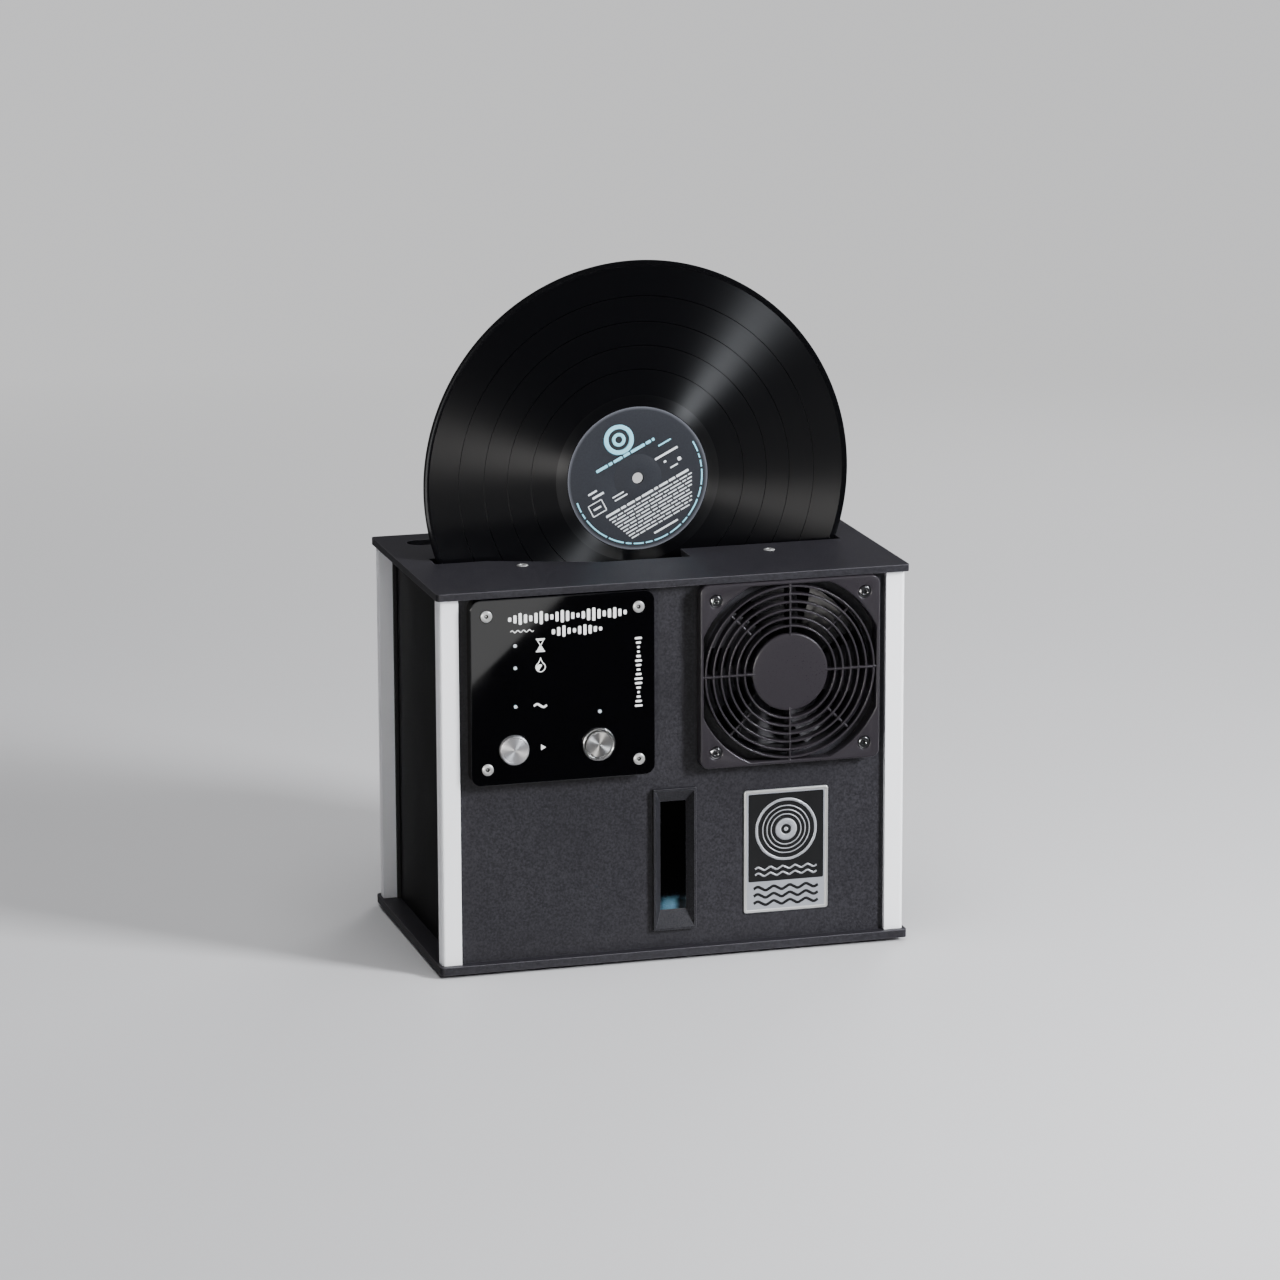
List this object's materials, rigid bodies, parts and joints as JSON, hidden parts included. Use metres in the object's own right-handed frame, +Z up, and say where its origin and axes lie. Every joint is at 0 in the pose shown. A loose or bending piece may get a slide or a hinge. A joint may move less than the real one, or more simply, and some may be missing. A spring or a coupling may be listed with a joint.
{
  "type": "record cleaning machine",
  "caption": "Metal case with a slotted lid over a wash basin, where a vinyl record stands on rollers between rotating barrels and is dried by fans.",
  "frame": {"origin": "on the standing surface, under the middle of the whole part", "axes": "+Z up, +X to the right seen from the front, the control plate faces -Y"},
  "size_m": [0.33, 0.2014, 0.4656],
  "materials": {
    "case_plate": "fine textured powder coat, dark grey",
    "side_black": "smooth satin black",
    "post_aluminium": "satin anodised",
    "rubber_black": "matt",
    "screw_steel": "bright",
    "plate_gloss": "gloss black with white symbols",
    "button_metal": "spun",
    "led_clear": "clear",
    "board_green": "solder mask",
    "guard_plastic": "satin moulded",
    "fan_plastic": "moulded",
    "wire_steel": "plated",
    "window_black": "satin gloss",
    "window_clear": "smoked clear",
    "float_foam": "closed foam",
    "badge_silver": "satin",
    "basin_plastic": "moulded",
    "gear_plastic": "moulded",
    "motor_steel": "plain",
    "spindle_plastic": "moulded",
    "microfibre": "microfibre pile",
    "roller_rubber": "smooth",
    "vinyl": "grooved gloss",
    "label_paper": "printed paper",
    "tank_plastic": "moulded",
    "pump_plastic": "moulded",
    "supply_metal": "plain",
    "rocker_plastic": "gloss"
  },
  "bodies": {
    "case": {"base_plate": "case_plate", "front_panel": "case_plate", "rear_panel": "case_plate", "lid": "case_plate", "side_panel_left": "side_black", "side_panel_right": "side_black", "post_front_left": "post_aluminium", "post_front_right": "post_aluminium", "post_rear_left": "post_aluminium", "post_rear_right": "post_aluminium", "feet": "rubber_black", "panel_seals": "rubber_black", "wiper_lips": "rubber_black", "case_screws": "screw_steel", "control_screws": "screw_steel", "guard_screws": "screw_steel", "rear_guard_screws": "screw_steel", "control_plate": "plate_gloss", "mode_bezel": "button_metal", "led_lenses": "led_clear", "control_board": "board_green", "fan_guard": "guard_plastic", "fan_front_frame": "fan_plastic", "fan_rear_frame": "fan_plastic", "duct_front": "fan_plastic", "duct_rear": "fan_plastic", "rear_guard": "wire_steel", "window_frame": "window_black", "window_pane": "window_clear", "badge": "badge_silver", "basin": "basin_plastic", "wiper_holders": "basin_plastic", "gearbox": "gear_plastic", "barrel_motor": "motor_steel", "record_motor": "motor_steel", "transducer": "motor_steel", "tank": "tank_plastic", "pump": "pump_plastic", "power_inlet": "pump_plastic", "power_switch": "pump_plastic", "power_supply": "supply_metal"},
    "record_body": {"record": "vinyl", "record_label": "label_paper"},
    "drive_roller_body": {"drive_roller": "roller_rubber"},
    "support_roller_body": {"support_roller": "roller_rubber"},
    "barrel_front_left": {"spindle_front_left": "spindle_plastic", "sleeve_front_left": "microfibre"},
    "barrel_front_right": {"spindle_front_right": "spindle_plastic", "sleeve_front_right": "microfibre"},
    "barrel_rear_left": {"spindle_rear_left": "spindle_plastic", "sleeve_rear_left": "microfibre"},
    "barrel_rear_right": {"spindle_rear_right": "spindle_plastic", "sleeve_rear_right": "microfibre"},
    "fan_front": {"fan_front_rotor": "fan_plastic"},
    "fan_rear": {"fan_rear_rotor": "fan_plastic"},
    "start": {"start_button": "button_metal"},
    "mode": {"mode_button": "button_metal"},
    "float": {"level_float": "float_foam"},
    "rocker": {"power_rocker": "rocker_plastic"},
    "cap": {"drain_cap": "pump_plastic"}
  },
  "joints": [
    {"name": "record_spin", "type": "hinge", "parent": "case", "child": "record_body", "pos_m": [0.002, 0.0057, 0.3148], "axis": [0, 1, 0], "continuous": true},
    {"name": "drive_spin", "type": "hinge", "parent": "case", "child": "drive_roller_body", "pos_m": [-0.10027, 0.0057, 0.19292], "axis": [0, 1, 0], "continuous": true},
    {"name": "support_spin", "type": "hinge", "parent": "case", "child": "support_roller_body", "pos_m": [0.10427, 0.0057, 0.19292], "axis": [0, 1, 0], "continuous": true},
    {"name": "barrel_front_left_spin", "type": "hinge", "parent": "case", "child": "barrel_front_left", "pos_m": [-0.0175, -0.0086, 0.21], "axis": [0, 0, 1], "continuous": true},
    {"name": "barrel_front_right_spin", "type": "hinge", "parent": "case", "child": "barrel_front_right", "pos_m": [0.014, -0.0086, 0.21], "axis": [0, 0, 1], "continuous": true},
    {"name": "barrel_rear_left_spin", "type": "hinge", "parent": "case", "child": "barrel_rear_left", "pos_m": [-0.0175, 0.02, 0.21], "axis": [0, 0, 1], "continuous": true},
    {"name": "barrel_rear_right_spin", "type": "hinge", "parent": "case", "child": "barrel_rear_right", "pos_m": [0.014, 0.02, 0.21], "axis": [0, 0, 1], "continuous": true},
    {"name": "fan_front_spin", "type": "hinge", "parent": "case", "child": "fan_front", "pos_m": [0.0795, -0.0985, 0.1965], "axis": [0, 1, 0], "continuous": true},
    {"name": "fan_rear_spin", "type": "hinge", "parent": "case", "child": "fan_rear", "pos_m": [0.0795, 0.0985, 0.1965], "axis": [0, 1, 0], "continuous": true},
    {"name": "start_press", "type": "slide", "parent": "case", "child": "start", "axis": [0, 1, 0], "range_m": [0, 0.0018], "stiffness_N_per_m": 500, "springref_m": -0.001},
    {"name": "mode_press", "type": "slide", "parent": "case", "child": "mode", "axis": [0, 1, 0], "range_m": [0, 0.0018], "stiffness_N_per_m": 500, "springref_m": -0.001},
    {"name": "float_rise", "type": "slide", "parent": "case", "child": "float", "axis": [0, 0, 1], "range_m": [0, 0.07]},
    {"name": "rocker_tilt", "type": "hinge", "parent": "case", "child": "rocker", "pos_m": [0.066, 0.0855, 0.034], "axis": [1, 0, 0], "range_deg": [-12, 0]},
    {"name": "cap_pull", "type": "slide", "parent": "case", "child": "cap", "axis": [0, 1, 0], "range_m": [0, 0.03]}
  ],
  "couplings": [
    {"joint": "drive_spin", "follows": "record_spin", "ratio": -18.169},
    {"joint": "support_spin", "follows": "record_spin", "ratio": -18.169},
    {"joint": "barrel_front_right_spin", "follows": "barrel_front_left_spin", "ratio": -1},
    {"joint": "barrel_rear_left_spin", "follows": "barrel_front_left_spin", "ratio": -1},
    {"joint": "barrel_rear_right_spin", "follows": "barrel_front_left_spin", "ratio": 1}
  ]
}
